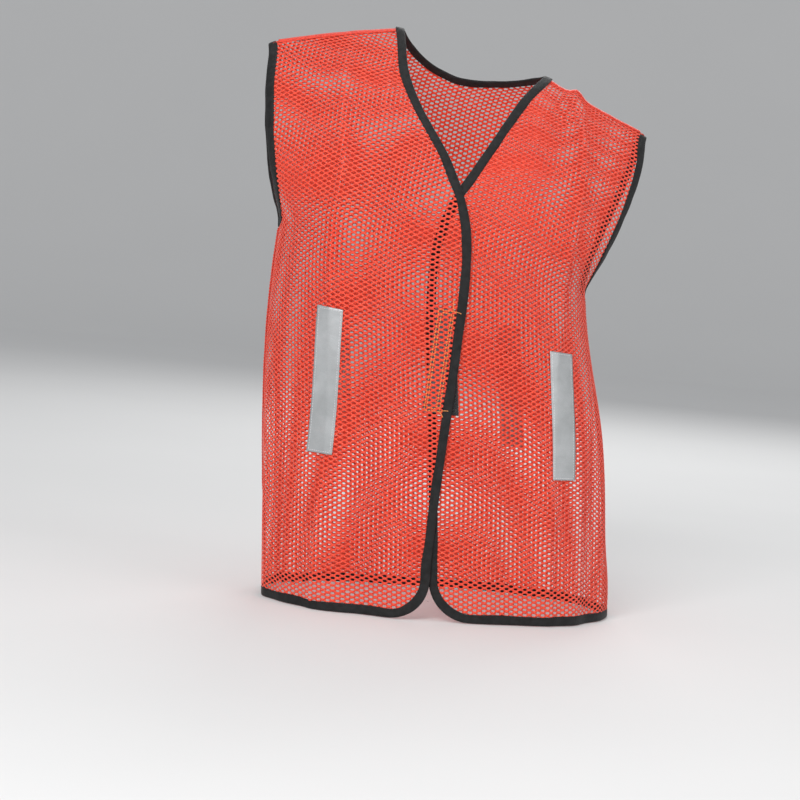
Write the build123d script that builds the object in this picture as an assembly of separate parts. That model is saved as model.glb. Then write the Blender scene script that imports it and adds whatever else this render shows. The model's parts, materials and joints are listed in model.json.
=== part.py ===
from build123d import *
import math
import os

# A sleeveless high-visibility mesh vest with a V neck, shaped as it hangs on an upright torso that
# leans a little. The wearer's right is -X, the front is -Y and +Z is up. The origin is midway
# between the two points where the neck meets the shoulder line, because the vest is worn from there.
#
# The shape is worked out in plain coordinates, upright and symmetric, with z measured up from the
# hem. posed() then leans it with the wearer. Every cloth part is a thin solid with flat facets.

# Driving dimensions, in millimetres and degrees
NECK_Z = 563.0  # the neck points, above the hem
TIP_Z = 527.0  # the shoulder tips
ARMPIT_Z = 356.0
NECK_HALF = 76.0
TIP_HALF = 196.0
ARMPIT_HALF = 159.0
BACK_NECK_DROP = 24.0
FRONT_DEPTH = 116.0
BACK_DEPTH = 108.0
RIDGE_Y = 8.0  # the shoulder line lies this far behind the side seams
SECTION_POWER = 2.3  # the level section: 2 is an ellipse, and more is boxier
ARMHOLE_WRAP = 14.0  # how far the armhole's edge stands inside the widest point of its level
WRAP_SHARE = 0.35  # of the armhole's height, over which that grows
FRONT_ROUNDING = (190.0, 0.75)  # fall below the shoulder line where the full depth starts, and power
BACK_ROUNDING = (140.0, 0.62)
CORNER_RADIUS = 39.0  # front hem corners

# Outlines as (height, x) pairs. The front edges overlap below the V and part above it
HALF_WIDTH = [(0, 176), (200, 173), (ARMPIT_Z, ARMPIT_HALF)]
RIGHT_EDGE = [(0, -14), (60, -12), (175, 2), (268, 18), (340, 27), (391, 22), (440, -2), (497, -42),
              (NECK_Z, -NECK_HALF)]
LEFT_EDGE = [(0, -12), (200, -14), (340, -12), (400, -3), (450, 19), (517, 54), (NECK_Z, NECK_HALF)]
# The wearer's pose: sideways lean in millimetres and tilt in degrees, by height
LEAN = [(0, 0), (175, -12.5), (350, -29), (470, -19), (TIP_Z, -14.5), (NECK_Z, -3)]
TILT = [(0, 0), (175, 2), (350, 8), (470, 6.4), (TIP_Z, 9.1), (NECK_Z, 13.5)]

CLOTH = 1.0  # mesh cloth
CLEARANCE = 0.1
BINDING_WIDTH = 8.0
BINDING_WALL = 0.6
OVERLAP_LIFT = 4.2  # the right front lies this far outside the left one where they overlap
OVERLAP_X = (-78, -42)  # x where that lift starts and where it is full
OVERLAP_Z = (440, 520)  # heights where it starts to fade and where it has gone
SEAM_GAP = 0.6  # between two cloth pieces that a seam joins
SEAM_WIDTH = 9.0
SEAM_THICKNESS = 0.8
STRIP_WIDTH = 25.0
STRIP_THICKNESS = 0.4
STRIP_LENGTH = 136.0
HOOK_WIDTH = 19.0
LOOP_WIDTH = 20.0
TAPE_LENGTH = 104.0
TAPE_THICKNESS = 1.3
THREAD_WIDTH = 0.6
THREAD_THICKNESS = 0.3
THREAD_INSET = 2.0

# Reflective strips: side of the wearer, x at the foot and at the top, height of the foot
FRONT_STRIPS = {"right": (-121.0, -108.0, 151.0), "left": (122.0, 123.0, 148.0)}
BACK_STRIP_X = 92.0
BACK_STRIP_Z = 160.0
TAPE_Z = 204.0  # the foot of the hook tape and of the loop tape

# Each front folds open along a line from the hem to the neck edge
FOLD_HEM_X = 112.0
FOLD_NECK_Z = 455.0
FOLD_GAP = 2.0
FOLD_TIP = 7.0  # the folding cloth ends this far below the fold's upper end
FOLD_BINDING_TIP = 17.0  # and its binding this far, where the cloth is wide enough to hold it
AXIS_STANDOFF = 2.5  # hinge axes, in front of the deepest cloth
FOLD_UP = FOLD_NECK_Z / NECK_Z

SIDES = {"right": (-1, RIGHT_EDGE), "left": (1, LEFT_EDGE)}


# The shape of the cloth


def along(points, at):
    """A smooth curve through (position, value) pairs, read at a position."""
    at = min(max(at, points[0][0]), points[-1][0])
    i = max(k for k in range(len(points) - 1) if points[k][0] <= at)
    ends = []
    for k in (i, i + 1):
        before = points[max(k - 1, 0)]
        after = points[min(k + 1, len(points) - 1)]
        ends.append((after[1] - before[1]) / (after[0] - before[0]))
    (p0, v0), (p1, v1) = points[i], points[i + 1]
    t = (at - p0) / (p1 - p0)
    rise = (3 - 2 * t) * t * t
    bend = ends[0] * t * (1 - t) ** 2 - ends[1] * t * t * (1 - t)
    return v0 * (1 - rise) + v1 * rise + (p1 - p0) * bend


def eased(t):
    """A smooth step from 0 to 1."""
    t = min(max(t, 0.0), 1.0)
    return t * t * (3 - 2 * t)


def armhole_x(z):
    """Half width at the armhole's edge."""
    share = min(max((z - ARMPIT_Z) / (TIP_Z - ARMPIT_Z), 0.0), 1.0)
    return ARMPIT_HALF + (TIP_HALF - ARMPIT_HALF) * math.sin(math.pi / 2 * share)


def half_width(z):
    """Half width of the whole level section."""
    if z <= ARMPIT_Z:
        return along(HALF_WIDTH, z)
    share = (z - ARMPIT_Z) / (TIP_Z - ARMPIT_Z)
    return armhole_x(z) + ARMHOLE_WRAP * eased(share / WRAP_SHARE)


def ridge(x):
    """Height of the shoulder line."""
    slope = (NECK_Z - TIP_Z) / (TIP_HALF - NECK_HALF)
    return NECK_Z - slope * max(abs(x) - NECK_HALF, 0.0)


def angle(x, z):
    """Degrees round from the centre of the front, where the section at height z is x wide."""
    share = min(abs(x) / half_width(z), 1.0)
    return math.copysign(math.degrees(math.asin(share ** (SECTION_POWER / 2))), x)


def section_x(turn, z):
    """The x of a place on the section."""
    s = math.sin(math.radians(turn))
    return math.copysign(abs(s) ** (2 / SECTION_POWER), s) * half_width(z)


def posed(x, y, z):
    """A plain point, leaned with the wearer, in the part's own frame."""
    tilt = math.radians(along(TILT, z))
    shift = along(LEAN, z) - LEAN[-1][1]
    return Vector(shift + x * math.cos(tilt), y - RIDGE_Y, z - x * math.sin(tilt) - NECK_Z)


def skin(turn, z):
    """A point of the cloth. 0 degrees is the front, 90 the wearer's left and 180 the back."""
    c = math.cos(math.radians(turn))
    x = section_x(turn, z)
    reach, power = FRONT_ROUNDING if c > 0 else BACK_ROUNDING
    depth = FRONT_DEPTH if c > 0 else BACK_DEPTH
    full = -math.copysign(abs(c) ** (2 / SECTION_POWER), c) * depth
    fall = min(max((ridge(x) - z) / reach, 0.0), 1.0)
    share = math.sin(math.pi / 2 * fall) ** power
    return posed(x, RIDGE_Y * (1 - share) + full * share, z)


def outward(turn, z):
    """The cloth's outward direction, taken a little inside its hem and its top edges."""
    across = skin(turn + 0.5, z) - skin(turn - 0.5, z)
    high = z - 0.5 if z > TIP_Z / 2 else z + 2.5
    return across.cross(skin(turn, high) - skin(turn, high - 2.0)).normalized()


def lift(turn, z):
    """How far the right front stands outside the plain surface, to lie over the left one."""
    near = eased((section_x(turn, z) - OVERLAP_X[0]) / (OVERLAP_X[1] - OVERLAP_X[0]))
    fade = eased((z - OVERLAP_Z[0]) / (OVERLAP_Z[1] - OVERLAP_Z[0]))
    return OVERLAP_LIFT * near * (1 - fade)


def side_turn(z):
    """Where a level of the front ends: at the armhole's edge, or at the side seam below it."""
    return angle(armhole_x(z), z) if z > ARMPIT_Z else 90.0


def edge_x(side, z):
    """The front edge with its rounded hem corner."""
    sign, outline = SIDES[side]
    x = along(outline, z)
    if z < CORNER_RADIUS:
        x += sign * (CORNER_RADIUS - math.sqrt(CORNER_RADIUS**2 - (CORNER_RADIUS - z) ** 2))
    return x


# Places on a piece are (turn, height, lift)


def spaced(low, high, count):
    return [low + (high - low) * i / count for i in range(count + 1)]


def front_place(side, across, up):
    """A place on a front: across is 0 at the side and 1 at the front edge, and up is 0 to 1."""
    sign = SIDES[side][0]
    side_z = TIP_Z * up
    edge_z = NECK_Z * up
    edge = edge_x(side, edge_z)
    turn = (1 - across) * side_turn(side_z) * sign + across * angle(edge, edge_z)
    z = (1 - across) * side_z + across * edge_z
    side_fall = ridge(armhole_x(side_z)) - side_z
    fall = (1 - across) * side_fall + across * (ridge(edge) - edge_z)
    x = section_x(turn, z)
    near_top = up**4
    z = (1 - near_top) * z + near_top * (ridge(x) - fall)
    turn = angle(x, z)
    return turn, z, lift(turn, z) if side == "right" else 0.0


def fold_across(side, up):
    """Where the fold line crosses a level of front_place, found by halving."""
    sign = SIDES[side][0]
    neck_x = abs(edge_x(side, FOLD_NECK_Z))
    low, high = 0.0, 1.0
    for _ in range(30):
        middle = (low + high) / 2
        turn, z, _ = front_place(side, middle, up)
        if section_x(turn, z) * sign > FOLD_HEM_X + (neck_x - FOLD_HEM_X) * z / FOLD_NECK_Z:
            low = middle
        else:
            high = middle
    return (low + high) / 2


ARMPIT_LEVELS = [(ARMPIT_Z + rise) / TIP_Z for rise in (0, 3, 9)]


def levels(top):
    """Levels of a front up to top, closer together round the hem corner and at the armpit."""
    corner = [CORNER_RADIUS * (1 - math.cos(math.radians(a))) / NECK_Z for a in (0, 30, 60, 90)]
    body = spaced(corner[-1], ARMPIT_LEVELS[0], 7)[1:]
    return corner + body + ARMPIT_LEVELS[1:] + spaced(ARMPIT_LEVELS[-1], top, 4)[1:]


def level_length(side, up):
    ends = [skin(*front_place(side, across, up)[:2]) for across in (0, 1)]
    return (ends[0] - ends[1]).length


def side_rows(side):
    """The part of a front that stays on the wearer: outside the fold line and above it."""
    rows = []
    for up in levels(FOLD_UP) + spaced(FOLD_UP, 1, 7)[1:]:
        seam = SEAM_GAP / 2 / level_length(side, up)
        inner = 1.0
        if up < FOLD_UP:
            inner = fold_across(side, up) - FOLD_GAP / 2 / level_length(side, up)
        level = min(up, 1 - SEAM_GAP / NECK_Z)
        rows.append([front_place(side, across, level) for across in spaced(seam, inner, 8)])
    return rows


def flap_rows(side):
    """The part of a front that folds open."""
    rows = []
    for up in levels(FOLD_UP - FOLD_TIP / NECK_Z):
        outer = fold_across(side, up) + FOLD_GAP / 2 / level_length(side, up)
        rows.append([front_place(side, across, up) for across in spaced(outer, 1, 6)])
    return rows


def back_place(across, up):
    """A place on the back: across is -1 at the wearer's right side and 1 at the left."""
    side_z = TIP_Z * up
    turn = across * (side_turn(side_z) - math.degrees(SEAM_GAP / 2 / ARMPIT_HALF))
    x = section_x(turn, side_z)
    top = ridge(x) - BACK_NECK_DROP * max(1 - (x / NECK_HALF) ** 2, 0.0)
    share = abs(across)
    centre = NECK_Z - BACK_NECK_DROP
    level = up * ((1 - share) * centre + share * TIP_Z)
    fall = (1 - share) * centre * (1 - up) + share * (ridge(armhole_x(side_z)) - side_z)
    near_top = up**4
    z = (1 - near_top) * level + near_top * (top - SEAM_GAP - fall)
    return 180 - angle(x, z), z, 0.0


def back_rows():
    neck_share = angle(NECK_HALF, TIP_Z) / side_turn(TIP_Z)
    left = spaced(0, neck_share, 4) + spaced(neck_share, 1, 5)[1:]
    shares = [-share for share in left[:0:-1]] + left
    heights = spaced(0, ARMPIT_LEVELS[0], 9) + ARMPIT_LEVELS[1:] + spaced(ARMPIT_LEVELS[-1], 1, 9)[1:]
    return [[back_place(share, up) for share in shares] for up in heights]


# Solids with flat facets


def place(turn, z, out=0.0):
    return skin(turn, z) + outward(turn, z) * out


def facet(*corners):
    return Face(Wire.make_polygon(corners, close=True))


def joined(loops):
    """Triangles between neighbouring loops of points."""
    faces = []
    for a, b in zip(loops, loops[1:]):
        for i in range(len(a)):
            j = (i + 1) % len(a)
            faces.append(facet(a[i], a[j], b[j]))
            faces.append(facet(a[i], b[j], b[i]))
    return faces


def strip_cap(loop):
    """The flat-faceted end of a sheet: the first half of the loop faces the second half."""
    faces = []
    last = len(loop) - 1
    for i in range(len(loop) // 2 - 1):
        faces.append(facet(loop[i], loop[i + 1], loop[last - i - 1]))
        faces.append(facet(loop[i], loop[last - i - 1], loop[last - i]))
    return faces


def sheet(rows, thickness=CLOTH, out=0.0):
    """A thin solid over a grid of places, with its middle surface out from the cloth's."""
    loops = []
    for row in rows:
        outer = [place(turn, z, lifted + out + thickness / 2) for turn, z, lifted in row]
        inner = [place(turn, z, lifted + out - thickness / 2) for turn, z, lifted in row]
        loops.append(outer + inner[::-1])
    return Solid(Shell(joined(loops) + strip_cap(loops[0]) + strip_cap(loops[-1])))


def binding(places):
    """Tape folded over a raw edge. The cloth is on the left of the way along the places."""
    points = [place(*each) for each in places]
    half = CLOTH / 2 + CLEARANCE
    loops = []
    for i, (turn, z, _) in enumerate(places):
        tangent = points[min(i + 1, len(points) - 1)] - points[max(i - 1, 0)]
        normal = outward(turn, z)
        inward = normal.cross(tangent).normalized()
        section = [
            (BINDING_WIDTH, half),
            (0, half),
            (0, -half),
            (BINDING_WIDTH, -half),
            (BINDING_WIDTH, -half - BINDING_WALL),
            (-BINDING_WALL, -half - BINDING_WALL),
            (-BINDING_WALL, half + BINDING_WALL),
            (BINDING_WIDTH, half + BINDING_WALL),
        ]
        loops.append([points[i] + inward * a + normal * b for a, b in section])
    return Solid(Shell(joined(loops) + [facet(*loops[0]), facet(*loops[-1])]))


# Trim


def tape_rows(low, high, z_low, z_high, across, steps, back, lifted):
    """The grid of a straight tape. low and high are its x edges, each as (foot, top)."""
    rows = []
    for share in spaced(0, 1, steps):
        z = z_low + (z_high - z_low) * share
        edges = [ends[0] + (ends[1] - ends[0]) * share for ends in (low, high)]
        turns = [angle(x, z) for x in spaced(*edges, across)]
        rows.append([(180 - t if back else t, z, lift(t, z) if lifted else 0.0) for t in turns])
    return rows


def tape(middle, width, z_low, length, thickness, out, back=False, lifted=False):
    low = [x - width / 2 for x in middle]
    high = [x + width / 2 for x in middle]
    rows = tape_rows(low, high, z_low, z_low + length, 4, 8, back, lifted)
    return sheet(rows, thickness, out)


def stitching(middle, width, z_low, length, out, back=False, lifted=False):
    """The box of thread round a tape: two long lines and two short ones."""
    reach = width / 2 - THREAD_INSET
    foot = z_low + THREAD_INSET
    top = z_low + length - THREAD_INSET
    lines = []
    for shift in (-reach, reach):
        low = [x + shift - THREAD_WIDTH / 2 for x in middle]
        high = [x + shift + THREAD_WIDTH / 2 for x in middle]
        lines.append(tape_rows(low, high, foot + THREAD_WIDTH, top - THREAD_WIDTH, 1, 8, back, lifted))
    for z, x in ((foot, middle[0]), (top, middle[1])):
        edges = [(x + shift, x + shift) for shift in (-reach, reach)]
        lines.append(tape_rows(*edges, z - THREAD_WIDTH / 2, z + THREAD_WIDTH / 2, 4, 1, back, lifted))
    return Compound([sheet(rows, THREAD_THICKNESS, out) for rows in lines])


def side_seam(sign):
    """Folded tape along a side seam, from the hem binding to the armhole binding."""
    turns = []
    for depth in (FRONT_DEPTH, BACK_DEPTH):
        turns.append(math.degrees(math.acos((SEAM_WIDTH / 2 / depth) ** (SECTION_POWER / 2))))
    columns = (turns[0] * sign, 90.0 * sign, (180 - turns[1]) * sign)
    heights = spaced(BINDING_WIDTH + 1, ARMPIT_Z - BINDING_WIDTH - 1, 10)
    rows = [[(turn, z, 0.0) for turn in columns] for z in heights]
    return sheet(rows, SEAM_THICKNESS, (CLOTH + SEAM_THICKNESS) / 2 + CLEARANCE)


def shoulder_seam(sign):
    """Folded tape over a shoulder line, from the neck binding to the armhole binding."""
    rows = []
    for x in spaced(NECK_HALF + BINDING_WIDTH + 2, TIP_HALF - BINDING_WIDTH - 2, 6):
        z = ridge(x) - 0.1
        turn = angle(x * sign, z)
        fallen = angle(x * sign, z - SEAM_WIDTH / 4)
        rows.append([(fallen, z - SEAM_WIDTH / 4, 0.0), (turn, z, 0.0), (180 - fallen, z - SEAM_WIDTH / 4, 0.0)])
    return sheet(rows, SEAM_THICKNESS, (CLOTH + SEAM_THICKNESS) / 2 + CLEARANCE)


def armhole(front, back):
    """The places round the wearer's left armhole, from the grids of its front and of the back."""
    up = [row[0] for row in front if row[0][1] >= ARMPIT_Z]
    down = [row[-1] for row in back if row[-1][1] >= ARMPIT_Z - SEAM_GAP]
    return up + down[::-1]


# Building and writing the nodes

back = back_rows()
neck = [each for each in back[-1] if abs(section_x(180 - each[0], each[1])) <= NECK_HALF + 1]
nodes = {
    "back_panel": sheet(back),
    "back_hem_binding": binding(back[0][::-1]),
    "back_neck_binding": binding(neck),
}
on_cloth = CLOTH / 2 + CLEARANCE

for side, (sign, _) in SIDES.items():
    fixed = side_rows(side)
    flap = flap_rows(side)
    fold_level = len(levels(FOLD_UP)) - 1
    binding_tip = front_place(side, 1, FOLD_UP - FOLD_BINDING_TIP / NECK_Z)
    edge = flap[0] + [row[-1] for row in flap[1:] if row[-1][1] < binding_tip[1]] + [binding_tip]
    neck_edge = [row[-1] for row in fixed[fold_level:]]
    hem_edge = fixed[0]
    if side == "left":
        edge, neck_edge, hem_edge = edge[::-1], neck_edge[::-1], hem_edge[::-1]
        arm_edge = armhole(fixed, back)
    else:
        arm_edge = armhole(fixed, [row[::-1] for row in back])[::-1]
    nodes[f"{side}_side_front"] = sheet(fixed)
    nodes[f"{side}_front_flap"] = sheet(flap)
    nodes[f"{side}_edge_binding"] = binding(edge)
    nodes[f"{side}_neck_binding"] = binding(neck_edge)
    nodes[f"{side}_hem_binding"] = binding(hem_edge)
    nodes[f"{side}_armhole_binding"] = binding(arm_edge)
    nodes[f"{side}_side_seam"] = side_seam(sign)
    nodes[f"{side}_shoulder_seam"] = shoulder_seam(sign)

    foot_x, top_x, foot_z = FRONT_STRIPS[side]
    strip_out = on_cloth + STRIP_THICKNESS / 2
    thread_out = on_cloth + STRIP_THICKNESS + CLEARANCE + THREAD_THICKNESS / 2
    for name, middle, z, behind in (
        (f"{side}_front_strip", (foot_x, top_x), foot_z, False),
        (f"{side}_back_strip", (sign * BACK_STRIP_X, sign * BACK_STRIP_X), BACK_STRIP_Z, True),
    ):
        nodes[name] = tape(middle, STRIP_WIDTH, z, STRIP_LENGTH, STRIP_THICKNESS, strip_out, behind)
        nodes[f"{name}_stitching"] = stitching(middle, STRIP_WIDTH, z, STRIP_LENGTH, thread_out, behind)

# The hook tape is inside the right front and the loop tape outside the left one
tape_out = on_cloth + TAPE_THICKNESS / 2
thread_out = on_cloth + THREAD_THICKNESS / 2
beside_binding = BINDING_WIDTH + 1
ends = (TAPE_Z, TAPE_Z + TAPE_LENGTH)
middle = [along(RIGHT_EDGE, z) - beside_binding - HOOK_WIDTH / 2 for z in ends]
nodes["hook_tape"] = tape(middle, HOOK_WIDTH, TAPE_Z, TAPE_LENGTH, TAPE_THICKNESS, -tape_out, lifted=True)
nodes["hook_tape_stitching"] = stitching(middle, HOOK_WIDTH, TAPE_Z, TAPE_LENGTH, thread_out, lifted=True)
middle = [along(LEFT_EDGE, z) + beside_binding + LOOP_WIDTH / 2 for z in ends]
nodes["loop_tape"] = tape(middle, LOOP_WIDTH, TAPE_Z, TAPE_LENGTH, TAPE_THICKNESS, tape_out)
nodes["loop_tape_stitching"] = stitching(middle, LOOP_WIDTH, TAPE_Z, TAPE_LENGTH, -thread_out)

os.makedirs("parts", exist_ok=True)
for name, shape in nodes.items():
    export_step(shape, f"parts/{name}.step")

# Hinge lines of the two fronts, for the record: a point on each and its direction, upwards
for side, (sign, _) in SIDES.items():
    neck_x = edge_x(side, FOLD_NECK_Z)
    ends = [posed(sign * FOLD_HEM_X, -FRONT_DEPTH - OVERLAP_LIFT - AXIS_STANDOFF, 0)]
    ends.append(posed(neck_x, -FRONT_DEPTH - OVERLAP_LIFT - AXIS_STANDOFF, FOLD_NECK_Z))
    direction = (ends[1] - ends[0]).normalized()
    print(side, "hinge line from", ends[0], "along", direction)
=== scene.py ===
"""Looks of the blaze orange mesh vest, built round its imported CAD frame.

The cloth is worked out in millimetres, upright, symmetric and with z measured up from the hem, as the
CAD part is. posed() leans it and moves it into the frame, and new_mesh() turns it into metres.
"""

import json
import math

import bmesh
import bpy
import numpy as np
from mathutils import Matrix, Vector


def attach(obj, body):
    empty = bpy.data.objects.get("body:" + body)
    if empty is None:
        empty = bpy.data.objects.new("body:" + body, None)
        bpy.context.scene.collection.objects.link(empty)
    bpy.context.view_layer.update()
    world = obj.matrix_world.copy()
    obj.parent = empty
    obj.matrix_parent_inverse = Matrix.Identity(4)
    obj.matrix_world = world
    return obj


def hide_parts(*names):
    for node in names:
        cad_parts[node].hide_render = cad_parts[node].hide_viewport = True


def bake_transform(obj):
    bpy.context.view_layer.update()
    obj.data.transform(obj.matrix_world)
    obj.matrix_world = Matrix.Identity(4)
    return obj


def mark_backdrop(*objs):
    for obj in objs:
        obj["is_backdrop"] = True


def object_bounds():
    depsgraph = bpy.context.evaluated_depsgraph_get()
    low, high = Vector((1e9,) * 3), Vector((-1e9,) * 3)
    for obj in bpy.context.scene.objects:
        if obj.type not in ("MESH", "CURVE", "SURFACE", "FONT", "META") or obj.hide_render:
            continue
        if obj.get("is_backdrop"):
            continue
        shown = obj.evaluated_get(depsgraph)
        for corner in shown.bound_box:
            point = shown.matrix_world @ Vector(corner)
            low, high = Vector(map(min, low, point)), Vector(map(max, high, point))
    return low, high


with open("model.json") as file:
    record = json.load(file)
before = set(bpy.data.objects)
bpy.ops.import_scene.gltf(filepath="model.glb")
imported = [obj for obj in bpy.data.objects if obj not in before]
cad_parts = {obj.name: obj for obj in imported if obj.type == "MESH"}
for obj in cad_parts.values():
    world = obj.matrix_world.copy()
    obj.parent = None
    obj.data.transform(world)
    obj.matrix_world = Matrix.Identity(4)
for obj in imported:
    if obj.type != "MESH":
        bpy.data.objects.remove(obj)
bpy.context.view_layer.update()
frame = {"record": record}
rng = np.random.default_rng(7)

# The worn shape, in millimetres and degrees, as the CAD part has it
NECK_Z = 563.0
TIP_Z = 527.0
ARMPIT_Z = 356.0
NECK_HALF = 76.0
TIP_HALF = 196.0
ARMPIT_HALF = 159.0
BACK_NECK_DROP = 24.0
FRONT_DEPTH = 116.0
BACK_DEPTH = 108.0
RIDGE_Y = 8.0
SECTION_POWER = 2.3
ARMHOLE_WRAP = 14.0  # how far the section reaches past the cloth on each side of the armholes
WRAP_SHARE = 0.35  # the share of an armhole's height that it takes to get there
FRONT_ROUNDING = (190.0, 0.75)  # how far below the shoulder line it ends, and its power
BACK_ROUNDING = (140.0, 0.62)
CORNER_RADIUS = 39.0
# From here to TILT, the first number of each pair is z
HALF_WIDTH = [(0, 176), (200, 173), (ARMPIT_Z, ARMPIT_HALF)]
RIGHT_EDGE = [(0, -14), (60, -12), (175, 2), (268, 18), (340, 27), (391, 22), (440, -2), (497, -42),
              (NECK_Z, -NECK_HALF)]
LEFT_EDGE = [(0, -12), (200, -14), (340, -12), (400, -3), (450, 19), (517, 54), (NECK_Z, NECK_HALF)]
LEAN = [(0, 0), (175, -12.5), (350, -29), (470, -19), (TIP_Z, -14.5), (NECK_Z, -3)]
TILT = [(0, 0), (175, 2), (350, 8), (470, 6.4), (TIP_Z, 9.1), (NECK_Z, 13.5)]
OVERLAP_LIFT = 4.2  # the right front over the left one
OVERLAP_X = (-78, -42)  # where the lift grows
OVERLAP_Z = (440, 520)  # where it fades
SIDES = {"right": (-1, RIGHT_EDGE), "left": (1, LEFT_EDGE)}

# Trim, in millimetres
BINDING_WIDTH = 8.0
STRIP_WIDTH = 25.0
STRIP_LENGTH = 136.0
FRONT_STRIPS = {"right": (-121.0, -108.0, 151.0), "left": (122.0, 123.0, 148.0)}
BACK_STRIP_X = 92.0
BACK_STRIP_Z = 160.0
STRIP_MIDDLE_Z = 220.0  # the strips stiffen the cloth, and its creases are faint beside them
TAPE_Z = 204.0
TAPE_LENGTH = 104.0
HOOK_WIDTH = 19.0
LOOP_WIDTH = 20.0
SEAM_WIDTH = 9.0

# How far the trim's middle stands out from the cloth, and how thick it is
SIDE_SEAM_TAPE = (0.9, 0.9)
SHOULDER_SEAM_TAPE = (0.8, 0.8)
STRIP_TAPE = (0.95, 0.5)
STRIP_STEP = 1.6  # of the grid of points that a tape is made from
CLOSURE_TAPE = (1.2, 1.1)
CLOSURE_STEP = 1.3
STRIP_THREAD_OUT = 1.35
TAPE_THREAD_OUT = 0.65

# Drape, in millimetres and degrees. A packing crease is (its x, or (z, x) pairs, its width, its height)
FOLDS_TOP = 330.0
HIP_BULGE = (82.0, 32.0, 3.0)  # turn, z and height
FRONT_CREASES = [
    ([(0, -128), (100, -121), (150, -116), (400, -106), (480, -116), (NECK_Z, -122)], 11, 4.2),
    ([(0, 107), (130, 108), (400, 127), (500, 126), (NECK_Z, 114)], 11, 4.6),
]
BACK_CREASES = [(-112, 15, 3.0), (112, 15, 3.0), (0, 14, -2.2)]
STRIP_CALM = 0.8  # the share of a crease that is lost beside a strip
STRIP_CALM_REACH = 85.0
SEAM_CALM_REACH = 30.0
OVERLAP_CALM_X = (20.0, 70.0)
OVERLAP_CALM = 0.15  # the share of the folds that is left where the fronts lie on each other
PLEAT_X = 115.0
PLEAT_SIZE = (8.5, 24.0)
PLEAT_HEIGHT = 6.5

# The knitted mesh, in millimetres
HOLE_PITCH = (9.4, 5.0)
BACK_STRETCH = 1.04  # the back's knit is drawn out a little over the shoulders
HOLE_SIZE = (4.2, 2.7)
HOLE_ANGLES = (0, 55, 125, 180, 235, 305)
STRAND_HALF = 0.42  # half the strand's thickness, at its middle
CORNER_SCATTER = 0.12
RIM_SCATTER = 0.08
HOLE_SIZE_SCATTER = 0.06  # a share of the hole
EDGE_INSET = 0.8  # the cloth ends this far inside its outline, within the binding
EDGE_PULL_LIMIT = 12.0
PAST_SIDE_SEAM = 40.0  # below the armpits a side seam isn't an edge: no place there is near one

# The flat cut of the cloth. Above LEVEL_Z its columns run straight up within STRAIGHT_X of the centre
TABLE_STEP = 2.0
TABLE_REACH = 270.0
TABLE_MARGIN = 10.0
LEVEL_Z = 373.0
STRAIGHT_X = 100.0
SWEEP_STEPS = 721

# Half of the binding's section, as (in from the edge, out from the cloth)
BINDING_SECTION = [(8.1, 0.5), (7.7, 0.95), (6.4, 1.1), (3.5, 1.25), (0.6, 1.2), (-0.6, 0.9), (-1.0, 0.3)]
BINDING_STEP = 3.0
BINDING_WIDTH_SPREAD = 0.05  # a share of the width
BINDING_SWELL_SPREAD = 0.09  # a share of the thickness
BINDING_WAVER = 0.25
EDGE_SMOOTHING = 3
ARMHOLE_SMOOTHING = 14

# A stitch is (length, gap, width, height)
BINDING_STITCH = (2.3, 0.8, 0.55, 0.42)
BOX_STITCH = (2.1, 0.5, 0.62, 0.5)
TAPE_STITCH = (2.3, 0.6, 0.8, 0.55)
STITCH_RINGS = ((-0.5, 0.25), (-0.3, 0.9), (0.0, 1.0), (0.3, 0.9), (0.5, 0.25))  # (place, girth) shares
STITCH_SIDES = 5
STITCH_INSET = 6.3  # of the binding's stitches from the edge
STITCH_OUT = 1.1  # and from the cloth
THREAD_INSET = 2.0  # of a box of thread from the edge of its tape
THREAD_RADIUS = 0.28
LINE_GAP = 2.6  # between the two rows of stitches of the closure tapes

# Closure pile: (scatter, how far along each point of a thread is, height)
HOOK_PILE = (0.05, (0.0, 0.35, 0.6, 0.45), 1.1)
LOOP_PILE = (0.35, (0.0, 0.5, 1.0, 1.5), 0.9)
PILE_RISES = (-0.1, 0.75, 1.0, 0.55)  # shares of the height
PILE_RADIUS = 0.16
PILE_FLATNESS = 0.7

# The studio, in metres, degrees and watts. The camera is a fit of the vest's outline
FLOOR_RADIUS = 4.0
BEND_RADIUS = 1.5
WALL_HEIGHT = 5.0
SPOKES = 96
LAMPS = [  # name, offset from the vest's middle, size, power
    ("key", (-0.9, -2.2, 1.3), 1.2, 52),
    ("fill", (1.7, -1.6, 0.6), 1.5, 14),
    ("top", (0.0, -0.3, 1.9), 1.5, 9),
    ("rear", (0.6, 2.1, 1.3), 1.4, 24),
]
CAMERA_AZIMUTH = -4.44
CAMERA_ELEVATION = 4.54
CAMERA_ROLL = 4.75
CAMERA_DISTANCE = 2.6
CAMERA_AIM = (-0.0474, -0.016, -0.3572)
CAMERA_LENS = 114.7


def unit(rows):
    return rows / np.linalg.norm(rows, axis=-1, keepdims=True)


# The worn shape, for arrays of turn (degrees round from the front) and z


def eased(t):
    t = np.clip(t, 0.0, 1.0)
    return t * t * (3 - 2 * t)


def along(points, at):
    """A smooth curve through (position, value) pairs, read at an array of positions."""
    xs, vs = (np.array(column, float) for column in zip(*points))
    last = len(xs) - 1
    ends = np.arange(last + 1)
    low, high = np.maximum(ends - 1, 0), np.minimum(ends + 1, last)
    slopes = (vs[high] - vs[low]) / (xs[high] - xs[low])
    at = np.clip(at, xs[0], xs[-1])
    i = np.clip(np.searchsorted(xs, at, side="right") - 1, 0, last - 1)
    span = xs[i + 1] - xs[i]
    t = (at - xs[i]) / span
    rise = (3 - 2 * t) * t * t
    bend = slopes[i] * t * (1 - t) ** 2 - slopes[i + 1] * t * t * (1 - t)
    return vs[i] * (1 - rise) + vs[i + 1] * rise + span * bend


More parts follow.
